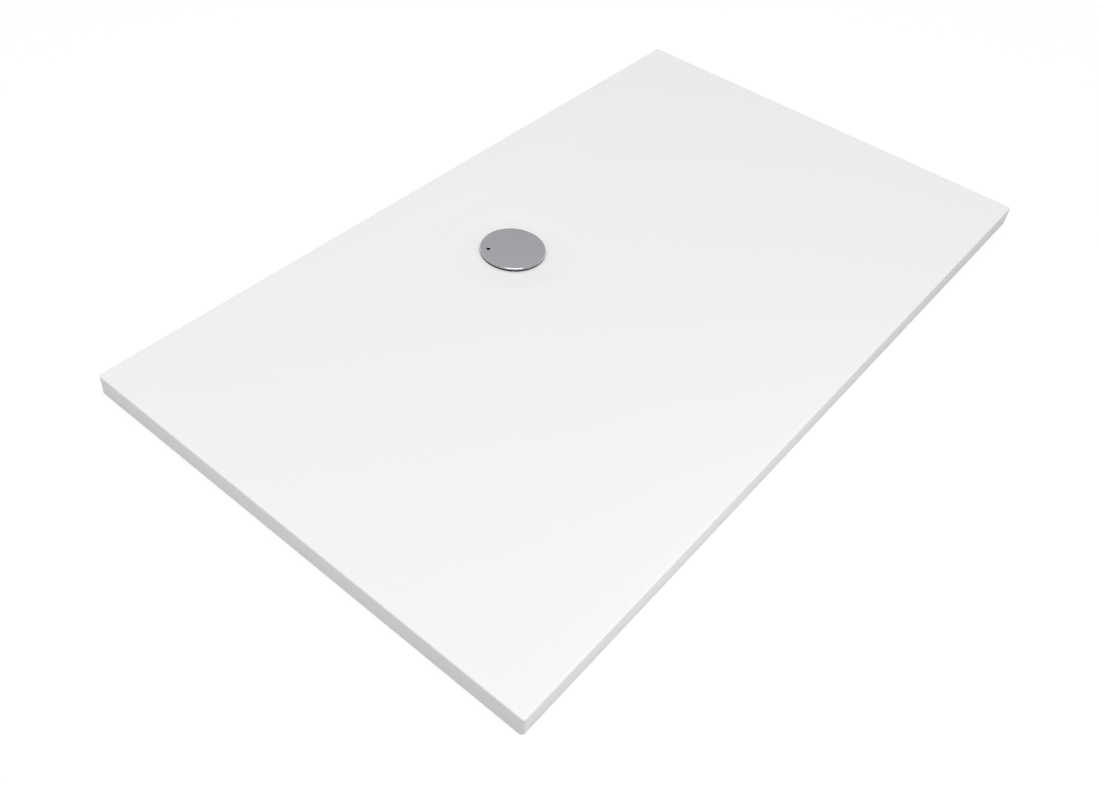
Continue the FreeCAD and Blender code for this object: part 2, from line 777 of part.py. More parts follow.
# The spigot is welded into the bowl's side, flush with its inside, and widens where the pipe goes in.
spigot = waste_body("OutletSpigot", "outlet_spigot")
waterway_radius = spigot_bore_radius - pipe_stop
turn_outlet(
    spigot,
    "Revolution",
    "SpigotTurned",
    [
        (weir_radius, waterway_radius),
        (outlet_reach - pipe_depth, waterway_radius),
        (outlet_reach - pipe_depth, spigot_bore_radius),
        (outlet_reach, spigot_bore_radius),
        (outlet_reach, spigot_radius),
        (weir_radius, spigot_radius),
    ],
)
turn(spigot, "Groove", "SpigotTrim", bowl_hollow)

# The weir is a tube welded upright to the bowl's floor.
weir = waste_body("TrapWeir", "trap_weir")
ring(weir, "WeirTurned", weir_radius - weir_wall, weir_radius, bowl_floor_level, -water_level)


# ---- outlet joint, drawn about the outlet's axis with its own +z outwards ----


def outlet_body(name, label):
    body = new_body(name)
    body.Placement = FreeCAD.Placement(
        FreeCAD.Vector(0, 0, 0), FreeCAD.Rotation(FreeCAD.Vector(1, 0, 0), -90)
    )
    place(body, waste_x, waste_y, -outlet_drop)
    return keep(body, label)


seal_inner = pipe_radius + outlet_ring_clearance
seal_outer = spigot_radius - outlet_ring_clearance
seal_end = outlet_reach + outlet_seal_length
washer_end = seal_end + outlet_washer_thickness
nut_end = washer_end + nut_end_wall

outlet_seal = outlet_body("OutletSeal", "outlet_seal")
turn(
    outlet_seal,
    "Revolution",
    "OutletSealTurned",
    [
        (seal_inner, outlet_reach),
        (seal_outer - outlet_seal_taper, outlet_reach),
        (seal_outer, seal_end),
        (seal_inner, seal_end),
    ],
)

outlet_washer = outlet_body("OutletWasher", "outlet_washer")
ring(outlet_washer, "OutletWasherTurned", seal_inner, seal_outer, seal_end, washer_end)

nut = outlet_body("OutletNut", "outlet_nut")
turn(
    nut,
    "Revolution",
    "NutTurned",
    [
        (nut_bore_radius, outlet_reach - nut_grip),
        (nut_radius, outlet_reach - nut_grip),
        (nut_radius, nut_end),
        (pipe_radius + nut_pipe_gap, nut_end),
        (pipe_radius + nut_pipe_gap, washer_end),
        (nut_bore_radius, washer_end),
    ],
)
rib_outline = new_sketch(nut, "RibOutline", "XY_Plane")
lift_sketch(rib_outline, outlet_reach - nut_grip)
rectangle(
    rib_outline,
    nut_radius - nut_wall / 2,
    nut_radius + nut_rib_height,
    -nut_rib_width / 2,
    nut_rib_width / 2,
)
rib = pad(nut, rib_outline, "Rib", nut_end - outlet_reach + nut_grip)
repeat_round(nut, rib, "Ribs", nut_rib_count)

# ---- lift-out insert with its O-ring ----

groove_middle = insert_rim_bottom - oring_below_rim
groove_half = oring_radius + oring_play
oring_ring_radius = flange_bore_radius - oring_clearance - oring_radius
groove_radius = oring_ring_radius - oring_radius - oring_seat_gap
neck_bottom = insert_rim_bottom - neck_length
funnel_top = basket_bottom - strainer_foot_gap
funnel_bottom = funnel_top - funnel_length
basket_wall_radius = insert_bore_radius + insert_wall

insert = waste_body("DipTube", "dip_tube")
turn(
    insert,
    "Revolution",
    "InsertTurned",
    [
        (strainer_rim_radius + lift_clearance, flange_top),
        (strainer_rim_radius + lift_clearance, strainer_seat_level),
        (insert_bore_radius, strainer_seat_level),
        (insert_bore_radius, funnel_top),
        (dip_tube_radius - insert_wall, funnel_bottom),
        (dip_tube_radius - insert_wall, tube_end_level),
        (dip_tube_radius, tube_end_level),
        (dip_tube_radius, funnel_bottom),
        (basket_wall_radius, funnel_top),
        (basket_wall_radius, neck_bottom),
        (neck_radius, neck_bottom),
        (neck_radius, groove_middle - groove_half),
        (groove_radius, groove_middle - groove_half),
        (groove_radius, groove_middle + groove_half),
        (neck_radius, groove_middle + groove_half),
        (neck_radius, insert_rim_bottom),
        (insert_rim_radius, insert_rim_bottom),
        (insert_rim_radius, flange_top),
    ],
)

oring = doc.addObject("Part::Torus", "DipTubeOring")
oring.setExpression("Radius1", oring_ring_radius.text)
oring.setExpression("Radius2", oring_radius.text)
place(oring, waste_x, waste_y, groove_middle)
keep(oring, "dip_tube_oring")

# ---- hair strainer ----

strainer = waste_body("HairStrainer", "hair_strainer")
basket_inner = basket_radius - strainer_wall
floor_top = basket_bottom + strainer_floor
knob_top = flange_top - knob_below_rim
turn(
    strainer,
    "Revolution",
    "StrainerTurned",
    [
        (zero, basket_bottom),
        (basket_radius, basket_bottom),
        (basket_radius, strainer_seat_level),
        (strainer_rim_radius, strainer_seat_level),
        (strainer_rim_radius, flange_top),
        (basket_inner, flange_top),
        (basket_inner, floor_top),
        (knob_stem_radius, floor_top),
        (knob_stem_radius, knob_top - knob_thickness),
        (knob_radius, knob_top - knob_thickness),
        (knob_radius, knob_top),
        (zero, knob_top),
    ],
)
floor_slot_outline = new_sketch(strainer, "FloorSlotOutline", "XY_Plane")
lift_sketch(floor_slot_outline, floor_top)
rectangle(
    floor_slot_outline,
    strainer_slot_inner,
    basket_inner - strainer_slot_margin,
    -strainer_slot_width / 2,
    strainer_slot_width / 2,
)
floor_slot = pocket(strainer, floor_slot_outline, "FloorSlot", strainer_floor)
repeat_round(strainer, floor_slot, "FloorSlots", strainer_slot_count)
# The wall slots start outside the knob, on a plane moved out towards the wall.
wall_slot_outline = new_sketch(strainer, "WallSlotOutline", "XZ_Plane")
wall_slot_outline.setExpression("AttachmentOffset.Base.z", (-knob_radius - strainer_slot_margin).text)
rectangle(
    wall_slot_outline,
    -strainer_slot_width / 2,
    strainer_slot_width / 2,
    floor_top + strainer_slot_margin,
    strainer_seat_level - strainer_slot_margin,
)
wall_slot = pocket(strainer, wall_slot_outline, "WallSlot", basket_radius)
repeat_round(strainer, wall_slot, "WallSlots", strainer_slot_count)

# ---- cover and its carrier ----

cover = waste_body("WasteCover", "waste_cover")
cover_outline = [
    (zero, cover_underside),
    (cover_radius - cover_rim_width, cover_underside),
    (cover_radius - cover_rim_width, cover_bottom),
    (cover_radius, cover_bottom),
    (cover_radius, cover_edge_top),
    (zero, cover_edge_top + cover_crown),
]
turn(cover, "Revolution", "CoverTurned", cover_outline, {4: zero})
for side, rounding, level in (
    ("Top", cover_edge_height - cover_bottom_round - cover_edge_flat, cover_edge_top),
    ("Bottom", cover_bottom_round, cover_bottom),
):
    round_edges(
        cover,
        f"Cover{side}Round",
        rounding,
        lambda edge, level=level: is_circle_at(edge, cover_radius, level),
    )
hole_sketch = new_sketch(cover, "LiftingHoleOutline", "XY_Plane")
lift_sketch(hole_sketch, cover_edge_top + cover_crown)
disc(hole_sketch, -lifting_hole_left, lifting_hole_back, lifting_hole_radius)
pocket(cover, hole_sketch, "LiftingHole", cover_edge_height + cover_crown)

carrier = waste_body("CoverCarrier", "cover_carrier")
finger_outer = basket_inner - finger_gap
finger_inner = finger_outer - finger_thickness
foot_inner = strainer_rim_radius + lift_clearance + foot_margin
foot_outer = insert_rim_radius - foot_margin
carrier_inner = finger_inner - carrier_margin
carrier_outer = cover_radius - cover_rim_width - carrier_fit
turn(
    carrier,
    "Revolution",
    "CarrierTurned",
    [
        (carrier_inner, cover_bottom - carrier_lip),
        (cover_radius - carrier_set_back, cover_bottom - carrier_lip),
        (cover_radius - carrier_set_back, cover_bottom),
        (carrier_outer, cover_bottom),
        (carrier_outer, cover_underside),
        (carrier_inner, cover_underside),
    ],
)
carrier_hole = new_sketch(carrier, "CarrierHoleOutline", "XY_Plane")
lift_sketch(carrier_hole, cover_underside)
disc(carrier_hole, -lifting_hole_left, lifting_hole_back, lifting_hole_radius + carrier_fit)
pocket(carrier, carrier_hole, "CarrierHole", cover_underside - cover_bottom + carrier_lip)
foot_outline = new_sketch(carrier, "FootOutline", "XY_Plane")
lift_sketch(foot_outline, flange_top)
rectangle(foot_outline, foot_inner, foot_outer, -foot_width / 2, foot_width / 2)
foot = pad(carrier, foot_outline, "Foot", cover_gap)
repeat_round(carrier, foot, "Feet", foot_count)
finger_outline = new_sketch(carrier, "FingerOutline", "XY_Plane")
lift_sketch(finger_outline, flange_top - finger_length)
rectangle(finger_outline, finger_inner, finger_outer, -finger_width / 2, finger_width / 2)
finger = pad(carrier, finger_outline, "Finger", finger_length + cover_gap)
repeat_round(carrier, finger, "Fingers", foot_count)

# ---- check everything, then write one file per sub-part ----

doc.recompute()
for thing in doc.Objects:
    if "Invalid" in thing.State or "Error" in thing.State:
        raise RuntimeError(f"{thing.Name} could not be built: {thing.State}")
for node in nodes:
    if node.Shape.isNull() or not node.Shape.isValid():
        raise RuntimeError(f"{node.Label} has no valid shape")

os.makedirs("parts", exist_ok=True)
for node in nodes:
    node.Shape.exportStep(f"parts/{node.Label}.step")
    box = node.Shape.BoundBox
    print(
        f"{node.Label}: {len(node.Shape.Solids)} solid(s), {node.Shape.Volume:.0f} mm3, "
        f"z {box.ZMin:.2f} to {box.ZMax:.2f}"
    )
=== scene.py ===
import math
import bpy
import numpy as np
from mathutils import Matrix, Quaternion, Vector


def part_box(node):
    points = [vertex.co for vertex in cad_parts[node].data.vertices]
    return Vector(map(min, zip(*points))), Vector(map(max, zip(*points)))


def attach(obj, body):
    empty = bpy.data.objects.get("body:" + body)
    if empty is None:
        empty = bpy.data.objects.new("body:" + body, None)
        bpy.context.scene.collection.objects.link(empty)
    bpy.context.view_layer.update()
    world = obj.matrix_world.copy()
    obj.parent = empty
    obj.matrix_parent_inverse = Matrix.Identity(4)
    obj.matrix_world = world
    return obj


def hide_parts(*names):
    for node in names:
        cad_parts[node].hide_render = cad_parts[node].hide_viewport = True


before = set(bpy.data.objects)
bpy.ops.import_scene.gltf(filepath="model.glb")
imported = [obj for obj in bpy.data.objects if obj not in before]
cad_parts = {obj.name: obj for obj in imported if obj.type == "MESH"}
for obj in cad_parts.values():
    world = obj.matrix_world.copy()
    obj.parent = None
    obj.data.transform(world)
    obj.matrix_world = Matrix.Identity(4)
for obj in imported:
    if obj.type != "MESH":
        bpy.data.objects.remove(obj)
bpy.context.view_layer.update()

# Low white shower tray with its round waste. Metres, +Z up; the tray lies on z = 0 and its trap hangs below.
mm = 0.001
print("frame loaded:", len(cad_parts), "nodes")


def reach(node, axis, side):
    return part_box(node)[side][axis]  # side 0 is the low face of the node's box, 1 the high one


def middle(node, axis):
    return (reach(node, axis, 0) + reach(node, axis, 1)) / 2


wasteX, wasteY = middle("waste_flange", 0), middle("waste_flange", 1)
outletLevel = middle("outlet_nut", 2)
halfLength = reach("acrylic_cap", 0, 1)
halfWidth = reach("acrylic_cap", 1, 1)
rimLevel = reach("acrylic_cap", 2, 1)
flangeTop = reach("waste_flange", 2, 1)


def feed(tree, node, feeds):
    # a socket is linked in, anything else is set as the input's own value
    for name, value in feeds.items():
        if isinstance(value, bpy.types.NodeSocket):
            tree.links.new(value, node.inputs[name])
        else:
            node.inputs[name].default_value = value
    return node


def addNode(tree, kind, feeds=None, **settings):
    node = tree.nodes.new(kind)
    for key, value in settings.items():
        setattr(node, key, value)
    return feed(tree, node, feeds or {})


def newGroup(name, inputs, outputs):
    group = bpy.data.node_groups.new(name, "ShaderNodeTree")
    for label, kind, value in inputs:
        socket = group.interface.new_socket(name=label, in_out="INPUT", socket_type=kind)
        if value is not None:
            socket.default_value = value
    for label, kind in outputs:
        group.interface.new_socket(name=label, in_out="OUTPUT", socket_type=kind)
    return group, group.nodes.new("NodeGroupInput").outputs, group.nodes.new("NodeGroupOutput").inputs


def useGroup(tree, group, feeds):
    node = tree.nodes.new("ShaderNodeGroup")
    node.node_tree = group
    return feed(tree, node, feeds).outputs


def maths(tree, operation, *values, clamp=False):
    feeds = dict(enumerate(values))
    return addNode(tree, "ShaderNodeMath", feeds, operation=operation, use_clamp=clamp).outputs[0]


def vectorMaths(tree, operation, output, *values):
    feeds = dict(enumerate(values))
    return addNode(tree, "ShaderNodeVectorMath", feeds, operation=operation).outputs[output]


def noiseOf(tree, vector, scale, detail, roughness=0.5):
    feeds = {"Vector": vector, "Scale": scale, "Detail": detail, "Roughness": roughness}
    return addNode(tree, "ShaderNodeTexNoise", feeds).outputs["Fac"]


# Effects that several finishes share. Sizes and spacings are in metres.
floatKind, vectorKind = "NodeSocketFloat", "NodeSocketVector"
effects = {
    "patchDetail": 3.0, "patchRoughness": 0.55,
    "grainDetail": 1.0, "finerGrain": 2.3, "finerDetail": 2.0, "finerShare": 0.4,
    "lineDetail": 3.0, "lineRoughness": 0.7,
    "speckCore": 1.2, "speckFall": -2.6,
    "edgeGain": 6.0, "edgeSamples": 4,
}


def buildPatches():
    # broad soft patches about 0.5, for cloudy colour and for handling marks in the gloss
    group, given, out = newGroup(
        "softPatches",
        [("Vector", vectorKind, None), ("Size", floatKind, 0.1), ("Contrast", floatKind, 1.0)],
        [("Patches", floatKind)],
    )
    scale = maths(group, "DIVIDE", 1.0, given["Size"])
    noise = noiseOf(group, given["Vector"], scale, effects["patchDetail"], effects["patchRoughness"])
    centred = maths(group, "SUBTRACT", noise, 0.5)
    spread = maths(group, "MULTIPLY_ADD", centred, given["Contrast"], 0.5)
    group.links.new(spread, out["Patches"])
    return group


def buildGrain():
    # fine skin of a moulded, formed or cast surface: one noise, and a finer and weaker one added to it
    group, given, out = newGroup(
        "fineGrain",
        [("Vector", vectorKind, None), ("Size", floatKind, 0.002)],
        [("Height", floatKind)],
    )
    scale = maths(group, "DIVIDE", 1.0, given["Size"])
    finer = maths(group, "MULTIPLY", scale, effects["finerGrain"])
    broad = noiseOf(group, given["Vector"], scale, effects["grainDetail"])
    fine = noiseOf(group, given["Vector"], finer, effects["finerDetail"])
    height = maths(group, "MULTIPLY_ADD", fine, effects["finerShare"], broad)
    group.links.new(height, out["Height"])
    return group


def buildLines():
    # lines left by turning or polishing: a noise of the distance from the axis, broken up a little round it
    group, given, out = newGroup(
        "turnedLines",
        [("Vector", vectorKind, None), ("Spacing", floatKind, 0.0003)],
        [("Height", floatKind)],
    )
    parts = addNode(group, "ShaderNodeSeparateXYZ", {"Vector": given["Vector"]}).outputs
    flat = addNode(group, "ShaderNodeCombineXYZ", {"X": parts["X"], "Y": parts["Y"]}).outputs[0]
    radius = vectorMaths(group, "LENGTH", "Value", flat)
    ring = maths(group, "DIVIDE", radius, given["Spacing"])
    turn = maths(group, "ARCTAN2", parts["Y"], parts["X"])
    place = addNode(group, "ShaderNodeCombineXYZ", {"X": ring, "Y": turn, "Z": parts["Z"]}).outputs[0]
    noise = noiseOf(group, place, 1.0, effects["lineDetail"], effects["lineRoughness"])
    group.links.new(noise, out["Height"])
    return group


def buildSpecks():
    # grains of filler: cells of a Voronoi pattern, full at the middle and fading outwards, of which only
    # the given share shows
    group, given, out = newGroup(
        "fillerSpecks",
        [("Vector", vectorKind, None), ("Size", floatKind, 0.002), ("Share", floatKind, 0.3)],
        [("Specks", floatKind)],
    )
    scale = maths(group, "DIVIDE", 1.0, given["Size"])
    cells = addNode(group, "ShaderNodeTexVoronoi", {"Vector": given["Vector"], "Scale": scale}).outputs
    pick = addNode(group, "ShaderNodeSeparateColor", {"Color": cells["Color"]}).outputs["Red"]
    chosen = maths(group, "LESS_THAN", pick, given["Share"])
    faded = maths(
        group, "MULTIPLY_ADD", cells["Distance"], effects["speckFall"], effects["speckCore"], clamp=True
    )
    specks = maths(group, "MULTIPLY", chosen, faded)
    group.links.new(specks, out["Specks"])
    return group


def buildSoftEdges():
    # the small radius that every real edge has, and a mask of where it lies: 0 where the rounded normal
    # agrees with the true one, and soon 1 where it leans away
    group, given, out = newGroup(
        "softEdges",
        [("Radius", floatKind, 0.0004)],
        [("Normal", vectorKind), ("Edge", floatKind)],
    )
    rounded = addNode(
        group, "ShaderNodeBevel", {"Radius": given["Radius"]}, samples=effects["edgeSamples"]
    ).outputs[0]
    plain = addNode(group, "ShaderNodeNewGeometry").outputs["Normal"]
    alike = vectorMaths(group, "DOT_PRODUCT", "Value", rounded, plain)
    gain = effects["edgeGain"]
    edge = maths(group, "MULTIPLY_ADD", alike, -gain, gain, clamp=True)
    group.links.new(rounded, out["Normal"])
    group.links.new(edge, out["Edge"])
    return group


softPatches = buildPatches()
fineGrain = buildGrain()
turnedLines = buildLines()
fillerSpecks = buildSpecks()
softEdges = buildSoftEdges()


def patchesOf(tree, place, size, contrast):
    return useGroup(tree, softPatches, {"Vector": place, "Size": size, "Contrast": contrast})["Patches"]


def grainOf(tree, place, size):
    return useGroup(tree, fineGrain, {"Vector": place, "Size": size})["Height"]


def startMaterial(name, centre=(0, 0, 0)):
    # a material with its Principled shader and Object coordinates counted from a centre
    material = bpy.data.materials.new(name)
    material.use_nodes = True
    tree = material.node_tree
    shader = tree.nodes["Principled BSDF"]
    place = addNode(tree, "ShaderNodeTexCoord").outputs["Object"]
    if any(centre):
        feeds = {"Vector": place, "Location": centre}
        place = addNode(tree, "ShaderNodeMapping", feeds, vector_type="TEXTURE").outputs["Vector"]
    return material, tree, shader, place


def blendColours(tree, share, first, second):
    node = addNode(tree, "ShaderNodeMix", {"Factor": share}, data_type="RGBA")
    node.inputs[6].default_value = (*first, 1)  # 6 and 7 are the two colours, and output 2 their blend
    node.inputs[7].default_value = (*second, 1)
    return node.outputs[2]


def between(tree, share, low, high):
    return maths(tree, "MULTIPLY_ADD", share, high - low, low)


def smoothStep(tree, value, start, end):
    # 0 at the start, 1 at the end, level at both
    feeds = {"Value": value, "From Min": start, "From Max": end}
    return addNode(tree, "ShaderNodeMapRange", feeds, interpolation_type="SMOOTHSTEP").outputs["Result"]


def bump(tree, height, depth, normal=None):
    # depth is the real height of the relief, in metres
    feeds = {"Height": height, "Distance": depth, "Strength": 1.0}
    if normal is not None:
        feeds["Normal"] = normal
    return addNode(tree, "ShaderNodeBump", feeds).outputs["Normal"]


def dress(tree, shader, colour, roughness, normal):
    tree.links.new(colour, shader.inputs["Base Color"])
    tree.links.new(roughness, shader.inputs["Roughness"])
    tree.links.new(normal, shader.inputs["Normal"])


acrylic = {
    "light": (0.892, 0.892, 0.884), "shade": (0.886, 0.886, 0.879),
    "roughness": (0.26, 0.32), "ior": 1.49, "cloud": 0.45, "cloudContrast": 1.0,
    "ripple": 0.011, "rippleDepth": 0.000012, "grain": 0.0016, "grainDepth": 0.000006,
}


def makeAcrylic():
    # formed sheet: a faint ripple, a finer skin over it, and gloss that drifts slowly
    material, tree, shader, place = startMaterial("whiteAcrylic")
    cloud = patchesOf(tree, place, acrylic["cloud"], acrylic["cloudContrast"])
    colour = blendColours(tree, cloud, acrylic["shade"], acrylic["light"])
    roughness = between(tree, cloud, *acrylic["roughness"])
    rippled = bump(tree, grainOf(tree, place, acrylic["ripple"]), acrylic["rippleDepth"])
    normal = bump(tree, grainOf(tree, place, acrylic["grain"]), acrylic["grainDepth"], rippled)
    dress(tree, shader, colour, roughness, normal)
    shader.inputs["IOR"].default_value = acrylic["ior"]
    return material


resin = {
    "body": (0.66, 0.64, 0.60), "speck": (0.43, 0.41, 0.38), "roughness": (0.72, 0.9),
    "speckSize": 0.0022, "speckShare": 0.32, "grain": 0.0011, "grainDepth": 0.00012,
    "pool": 0.09, "poolContrast": 1.8, "poolShade": 0.25,
}


def makeResin():
    # mineral filler in a pale binder, rough where it was struck off in the mould
    material, tree, shader, place = startMaterial("castResin")
    given = {"Vector": place, "Size": resin["speckSize"], "Share": resin["speckShare"]}
    specks = useGroup(tree, fillerSpecks, given)["Specks"]
    pool = patchesOf(tree, place, resin["pool"], resin["poolContrast"])
    share = maths(tree, "MULTIPLY_ADD", pool, resin["poolShade"], specks, clamp=True)
    colour = blendColours(tree, share, resin["body"], resin["speck"])
    roughness = between(tree, pool, *resin["roughness"])
    normal = bump(tree, grainOf(tree, place, resin["grain"]), resin["grainDepth"])
    dress(tree, shader, colour, roughness, normal)
    return material


turning = {"patch": 0.022, "patchContrast": 1.8, "edge": 0.0003, "edgeTone": 0.5, "lineTone": 0.4}
metals = {
    "brightChrome": {
        "colour": (0.6, 0.605, 0.63), "worn": (0.7, 0.705, 0.73), "roughness": (0.05, 0.11),
        "spacing": 0.0009, "depth": 0.0000006,
    },
    "stainlessSteel": {
        "colour": (0.48, 0.475, 0.465), "worn": (0.6, 0.6, 0.59), "roughness": (0.22, 0.34),
        "spacing": 0.0003, "depth": 0.000004,
    },
    "brass": {
        "colour": (0.66, 0.47, 0.2), "worn": (0.78, 0.6, 0.3), "roughness": (0.25, 0.4),
        "spacing": 0.0004, "depth": 0.000004,
    },
}


def makeTurned(name, metal):
    # turned or polished metal about the waste's axis, brighter on its lines and its rubbed edges
    material, tree, shader, place = startMaterial(name, centre=(wasteX, wasteY, 0))
    edges = useGroup(tree, softEdges, {"Radius": turning["edge"]})
    patches = patchesOf(tree, place, turning["patch"], turning["patchContrast"])
    lines = useGroup(tree, turnedLines, {"Vector": place, "Spacing": metal["spacing"]})["Height"]
    lineTone = maths(tree, "MULTIPLY", lines, turning["lineTone"])
    tone = maths(tree, "MULTIPLY_ADD", edges["Edge"], turning["edgeTone"], lineTone, clamp=True)
    colour = blendColours(tree, tone, metal["colour"], metal["worn"])
    roughness = between(tree, patches, *metal["roughness"])
    dress(tree, shader, colour, roughness, bump(tree, lines, metal["depth"], edges["Normal"]))
    shader.inputs["Metallic"].default_value = 1.0
    return material


moulding = {"patch": 0.03, "patchContrast": 1.5, "edge": 0.0004, "lightDepth": 0.002}
plastics = {
    "whitePlastic": {
        "colour": (0.78, 0.78, 0.75), "worn": (0.86, 0.86, 0.84), "roughness": (0.34, 0.46),
        "grain": 0.0009, "grainDepth": 0.00002, "milky": 0.05,
    },
    "greyPlastic": {
        "colour": (0.38, 0.39, 0.41), "worn": (0.52, 0.53, 0.55), "roughness": (0.3, 0.42),
        "grain": 0.0008, "grainDepth": 0.00002, "milky": 0,
    },
    # near black: the cover's carrier is a real part, but this colour is also painted shade for the shadow gap
    # under the cover's rim
    "darkPlasticPaintedShade": {
        "colour": (0.018, 0.018, 0.02), "worn": (0.06, 0.06, 0.063), "roughness": (0.42, 0.55),
        "grain": 0.0008, "grainDepth": 0.00003, "milky": 0,
    },
    "blackRubber": {
        "colour": (0.018, 0.018, 0.018), "worn": (0.06, 0.06, 0.06), "roughness": (0.55, 0.75),
        "grain": 0.0012, "grainDepth": 0.00004, "milky": 0,
    },
}


def makeMoulded(name, plastic):
    # moulded plastic or rubber: fine grain, cloudy gloss, and edges rubbed a little paler
    material, tree, shader, place = startMaterial(name)
    edges = useGroup(tree, softEdges, {"Radius": moulding["edge"]})
    patches = patchesOf(tree, place, moulding["patch"], moulding["patchContrast"])
    rubbed = maths(tree, "MULTIPLY", edges["Edge"], patches)
    colour = blendColours(tree, rubbed, plastic["colour"], plastic["worn"])
    roughness = between(tree, patches, *plastic["roughness"])
    grain = grainOf(tree, place, plastic["grain"])
    dress(tree, shader, colour, roughness, bump(tree, grain, plastic["grainDepth"], edges["Normal"]))
    shader.inputs["Subsurface Weight"].default_value = plastic["milky"]
    shader.inputs["Subsurface Radius"].default_value = (moulding["lightDepth"],) * 3
    return material


finishes = {"whiteAcrylic": makeAcrylic(), "castResin": makeResin()}
for name, metal in metals.items():
    finishes[name] = makeTurned(name, metal)
for name, plastic in plastics.items():
    finishes[name] = makeMoulded(name, plastic)

madeOf = {
    "whiteAcrylic": ["acrylic_cap"],
    "castResin": ["resin_core"],
    "brightChrome": ["waste_cover"],
    "stainlessSteel": ["waste_flange", "flange_screws"],
    "brass": ["screw_inserts"],
    "whitePlastic": [
        "dip_tube", "trap_head", "trap_bowl", "trap_weir", "outlet_spigot", "outlet_washer", "outlet_nut",
    ],
    "greyPlastic": ["hair_strainer"],
    # the carrier's near-black colour is partly painted shade, standing in for the shadow gap under the cover's
    # rim
    "darkPlasticPaintedShade": ["cover_carrier"],
    "blackRubber": ["dip_tube_oring", "flange_seal", "body_seal", "bowl_seal", "outlet_seal"],
}
for finish, nodes in madeOf.items():
    for node in nodes:
        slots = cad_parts[node].data.materials
        for i in range(len(slots)):
            slots[i] = finishes[finish]
print("finishes made:", len(finishes))


def newPiece(name, points, faces, material):
    mesh = bpy.data.meshes.new(name)
    mesh.from_pydata(points.reshape(-1, 3).tolist(), [], faces)
    mesh.materials.append(material)
    piece = bpy.data.objects.new(name, mesh)
    bpy.context.scene.collection.objects.link(piece)
    return piece


def shadeSmooth(piece, sharpAbove):
    # smooth, but for edges that bend by more than the given degrees
    piece.data.polygons.foreach_set("use_smooth", np.ones(len(piece.data.polygons), dtype=bool))
    piece.data.set_sharp_from_angle(angle=math.radians(sharpAbove))


def stripFaces(index):
    # quads between each row of corner numbers and the next; the columns join up and the rows don't
    here, there = index[:-1], index[1:]
    quads = np.stack([here, there, np.roll(there, -1, axis=1), np.roll(here, -1, axis=1)], axis=-1)
    return quads.reshape(-1, 4).tolist()


def shellFaces(index):
    # quads round a grid whose rows and columns both join up
    nextRow = np.roll(index, -1, axis=0)
    quads = np.stack([index, np.roll(index, -1, axis=1), np.roll(nextRow, -1, axis=1), nextRow], axis=-1)
    return quads.reshape(-1, 4).tolist()


def numbered(points):
    # the corners' numbers, laid out as the grid of points is
    rows, columns = points.shape[:2]
    return np.arange(rows * columns).reshape(rows, columns)


def shellPiece(name, points, body, material, sharpAbove):
    # points is rows x columns x 3, and the piece is one closed shell
    piece = newPiece(name, points, shellFaces(numbered(points)), material)
    shadeSmooth(piece, sharpAbove)
    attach(piece, body)
    return piece


def arcSteps(steps):
    # cosine and sine along a quarter turn, both ends included
    turn = np.linspace(0, math.pi / 2, steps)
    return list(zip(np.cos(turn), np.sin(turn)))


def rayReach(turns, inset, corner):
    # distance from the waste's axis to a rounded rectangle set in from the tray's outside: the nearer of
    # the two straight sides ahead, or the corner's circle where the ray ends past the straight parts
    along = np.stack([np.cos(turns), np.sin(turns)], axis=-1)
    start = np.array([wasteX, wasteY])
    half = np.array([halfLength - inset, halfWidth - inset])
    straight = np.min((np.sign(along) * half - start) / along, axis=-1)
    hit = start + straight[:, None] * along
    toCentre = start - np.sign(hit) * (half - corner)
    lean = np.sum(along * toCentre, axis=-1)
    inside = lean**2 - np.sum(toCentre**2, axis=-1) + corner**2
    rounded = np.sqrt(np.maximum(inside, 0)) - lean
    return np.where(np.all(np.abs(hit) > half - corner, axis=-1), rounded, straight)


tray = {
    "wall": 3 * mm, "corner": 5 * mm, "edgeRound": 3 * mm, "footRound": 0.5 * mm,
    "rimWidth": 25 * mm, "fallCorner": 60 * mm, "fallDrop": 4 * mm,
    "dishRadius": 115 * mm, "dishDrop": 4 * mm, "dishStart": 58 * mm,
    "recess": 53.5 * mm, "recessRound": 0.7 * mm, "seat": 22.5 * mm, "hole": 45 * mm,
    "rays": 384, "cornerRays": 9, "recessSteps": 5, "edgeSteps": 9, "footSteps": 4, "sharpAbove": 38,
    "topSteps": (28, 34, 5), "undersideSteps": (10, 8, 3),  # over the dish, the fall and the rim
}


def trayTurns():
    # even rays about the waste's axis, and a few more to each upright corner of the tray
    even = (np.arange(tray["rays"]) + 0.5) * 2 * math.pi / tray["rays"]
    extra = []
    for side, (signX, signY) in enumerate(((1, 1), (-1, 1), (-1, -1), (1, -1))):
        turn = (side + np.linspace(0, 1, tray["cornerRays"])) * math.pi / 2
        x = signX * (halfLength - tray["corner"]) + tray["corner"] * np.cos(turn)
        y = signY * (halfWidth - tray["corner"]) + tray["corner"] * np.sin(turn)
        extra.append(np.arctan2(y - wasteY, x - wasteX) % (2 * math.pi))
    return np.unique(np.round(np.concatenate([even, *extra]), 7))


def dishLevel(radius, edgeLevel):
    # the dish's soft S: two arcs of one radius, level at both ends, meeting halfway
    span = (tray["dishRadius"] - tray["dishStart"]) / 2
    drop = tray["dishDrop"] / 2
    bend = (span**2 + drop**2) / (2 * drop)
    inner = edgeLevel - 2 * drop + bend - np.sqrt(bend**2 - (radius - tray["dishStart"]) ** 2)
    outer = edgeLevel - bend + np.sqrt(bend**2 - (tray["dishRadius"] - radius) ** 2)
    return np.where(radius < tray["dishStart"] + span, inner, outer)


